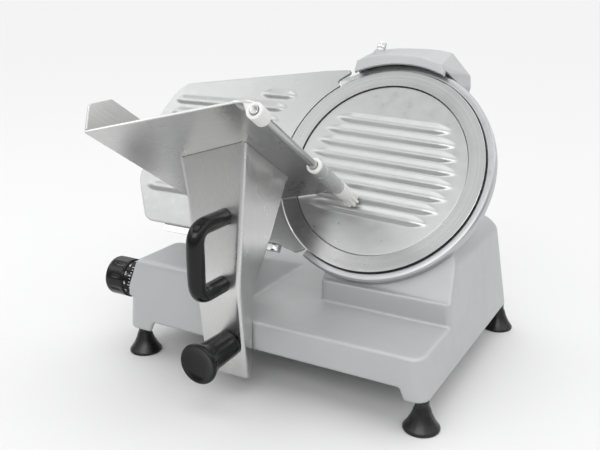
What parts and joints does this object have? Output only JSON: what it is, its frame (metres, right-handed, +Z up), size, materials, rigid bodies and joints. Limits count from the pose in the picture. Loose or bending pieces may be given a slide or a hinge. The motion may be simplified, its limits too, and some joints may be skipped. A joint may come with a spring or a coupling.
{
  "type": "gravity feed meat slicer",
  "caption": "Motor-driven meat slicer with a leaning round blade, a sliding food carriage pushed by hand, an adjustable gauge plate, a sharpener hood and rubber feet.",
  "frame": {"origin": "below the middle of the slicer's bounding box, on the surface that the feet stand on", "axes": "+X along the travel of the carriage, towards the blade end; +Y away from the user, to the back; +Z up"},
  "size_m": [0.4764, 0.4146, 0.3728],
  "materials": {
    "painted_body": "smooth satin light grey paint over cast aluminium",
    "cast_aluminium": "fine satin anodised casting",
    "brushed_metal": "brushed, with soft broad reflections",
    "polished_steel": "polished or ground steel",
    "black_plastic": "glossy moulded black",
    "black_rubber": "smooth black rubber",
    "pale_plastic": "matt off-white moulding",
    "abrasive": "bonded abrasive grit",
    "green_plastic": "glossy moulded green",
    "red_plastic": "glossy moulded red"
  },
  "bodies": {
    "base": {"base_casting": "painted_body", "bottom_cover": "painted_body", "foot_front_left": "black_rubber", "foot_front_right": "black_rubber", "foot_rear_left": "black_rubber", "foot_rear_right": "black_rubber", "bearing_front": "polished_steel", "bearing_rear": "polished_steel", "blade_cover": "cast_aluminium", "cover_tie_rod": "polished_steel", "motor_housing": "cast_aluminium", "drive_belt": "black_rubber", "blade_guard_ring": "cast_aluminium", "sharpener_post": "cast_aluminium", "gauge_slide_rod": "polished_steel", "guide_rod": "polished_steel", "guide_rail": "polished_steel", "switch_box": "black_plastic", "cord_inlet": "black_plastic"},
    "blade_unit": {"blade": "polished_steel", "blade_pulley": "cast_aluminium", "blade_shaft": "polished_steel"},
    "motor_unit": {"motor_rotor": "polished_steel"},
    "cover_knob": {"cover_lock_knob": "black_plastic"},
    "gauge_unit": {"gauge_plate": "cast_aluminium", "gauge_support_bar": "polished_steel", "bracket_bolt_1": "polished_steel", "bracket_bolt_2": "polished_steel", "gauge_bracket": "cast_aluminium", "gauge_slide_block": "cast_aluminium"},
    "thickness_unit": {"thickness_knob": "black_plastic", "thickness_shaft": "polished_steel", "thickness_cam": "polished_steel"},
    "carriage": {"carriage_slide": "cast_aluminium", "slide_bush_left": "pale_plastic", "slide_bush_right": "pale_plastic", "slide_shoe": "pale_plastic", "carriage_arm": "brushed_metal", "carriage_handle": "black_plastic", "handle_bolt_upper": "polished_steel", "handle_bolt_lower": "polished_steel", "product_tray": "brushed_metal", "tray_fence": "brushed_metal", "rod_lug_upper": "pale_plastic", "rod_lug_lower": "pale_plastic"},
    "clamp": {"clamp_knob": "black_plastic", "clamp_stud": "polished_steel"},
    "rod_unit": {"pusher_rod": "polished_steel", "rod_end_knob": "pale_plastic"},
    "sleeve": {"pusher_sleeve": "polished_steel"},
    "sharpener": {"sharpener_hood": "painted_body"},
    "sharpener_screw": {"sharpener_lock_screw": "polished_steel"},
    "grind_push_unit": {"grind_button": "black_plastic"},
    "grind_wheel": {"grind_stone": "abrasive"},
    "hone_push_unit": {"hone_button": "black_plastic"},
    "hone_wheel": {"hone_stone": "abrasive"},
    "switch_on": {"switch_on_button": "green_plastic"},
    "switch_off": {"switch_off_button": "red_plastic"}
  },
  "joints": [
    {"name": "blade_spin", "type": "hinge", "parent": "base", "child": "blade_unit", "pos_m": [0.10125, 0.04491, 0.2318], "axis": [0, -0.8412, 0.5407], "continuous": true},
    {"name": "motor_spin", "type": "hinge", "parent": "base", "child": "motor_unit", "pos_m": [0.14125, 0.02053, 0.14762], "axis": [0, -0.8412, 0.5407], "continuous": true},
    {"name": "cover_knob_turn", "type": "hinge", "parent": "base", "child": "cover_knob", "pos_m": [0.10125, 0.12062, 0.18313], "axis": [0, -0.8412, 0.5407], "range_deg": [0, 360]},
    {"name": "thickness_turn", "type": "hinge", "parent": "base", "child": "thickness_unit", "pos_m": [-0.17875, -0.08429, 0.088], "axis": [-1, 0, 0], "range_deg": [0, 300]},
    {"name": "gauge_travel", "type": "slide", "parent": "base", "child": "gauge_unit", "axis": [0, 0.8412, -0.5407], "range_m": [0, 0.012]},
    {"name": "carriage_travel", "type": "slide", "parent": "base", "child": "carriage", "axis": [1, 0, 0], "range_m": [-0.08, 0.18]},
    {"name": "clamp_turn", "type": "hinge", "parent": "carriage", "child": "clamp", "pos_m": [0.00675, -0.15929, 0.062], "axis": [0, -1, 0], "range_deg": [0, 360]},
    {"name": "rod_turn", "type": "hinge", "parent": "carriage", "child": "rod_unit", "pos_m": [0.08188, -0.09251, 0.26766], "axis": [0, -0.8412, 0.5407], "range_deg": [-120, 120]},
    {"name": "sleeve_travel", "type": "slide", "parent": "rod_unit", "child": "sleeve", "axis": [0, -0.8412, 0.5407], "range_m": [0, 0.11]},
    {"name": "sharpener_lift", "type": "slide", "parent": "base", "child": "sharpener", "axis": [0, 0.5407, 0.8412], "range_m": [0, 0.02]},
    {"name": "sharpener_screw_turn", "type": "hinge", "parent": "sharpener", "child": "sharpener_screw", "pos_m": [0.06125, 0.13287, 0.36309], "axis": [0, 0.5407, 0.8412], "range_deg": [0, 360]},
    {"name": "grind_push", "type": "slide", "parent": "sharpener", "child": "grind_push_unit", "axis": [0, -0.8412, 0.5407], "range_m": [0, 0.003], "stiffness_N_per_m": 300},
    {"name": "grind_spin", "type": "hinge", "parent": "grind_push_unit", "child": "grind_wheel", "pos_m": [0.08075, 0.13273, 0.34624], "axis": [0, -0.8412, 0.5407], "continuous": true},
    {"name": "hone_push", "type": "slide", "parent": "sharpener", "child": "hone_push_unit", "axis": [0, -0.8412, 0.5407], "range_m": [0, 0.003], "stiffness_N_per_m": 300},
    {"name": "hone_spin", "type": "hinge", "parent": "hone_push_unit", "child": "hone_wheel", "pos_m": [0.12175, 0.13273, 0.34624], "axis": [0, -0.8412, 0.5407], "continuous": true},
    {"name": "switch_on_push", "type": "slide", "parent": "base", "child": "switch_on", "axis": [0.995, 0, -0.0995], "range_m": [0, 0.003], "stiffness_N_per_m": 400},
    {"name": "switch_off_push", "type": "slide", "parent": "base", "child": "switch_off", "axis": [0.995, 0, -0.0995], "range_m": [0, 0.003], "stiffness_N_per_m": 400}
  ],
  "couplings": [
    {"joint": "motor_spin", "follows": "blade_spin", "ratio": 4.6667},
    {"joint": "thickness_turn", "follows": "gauge_travel", "rad_per_m": 436.33}
  ]
}
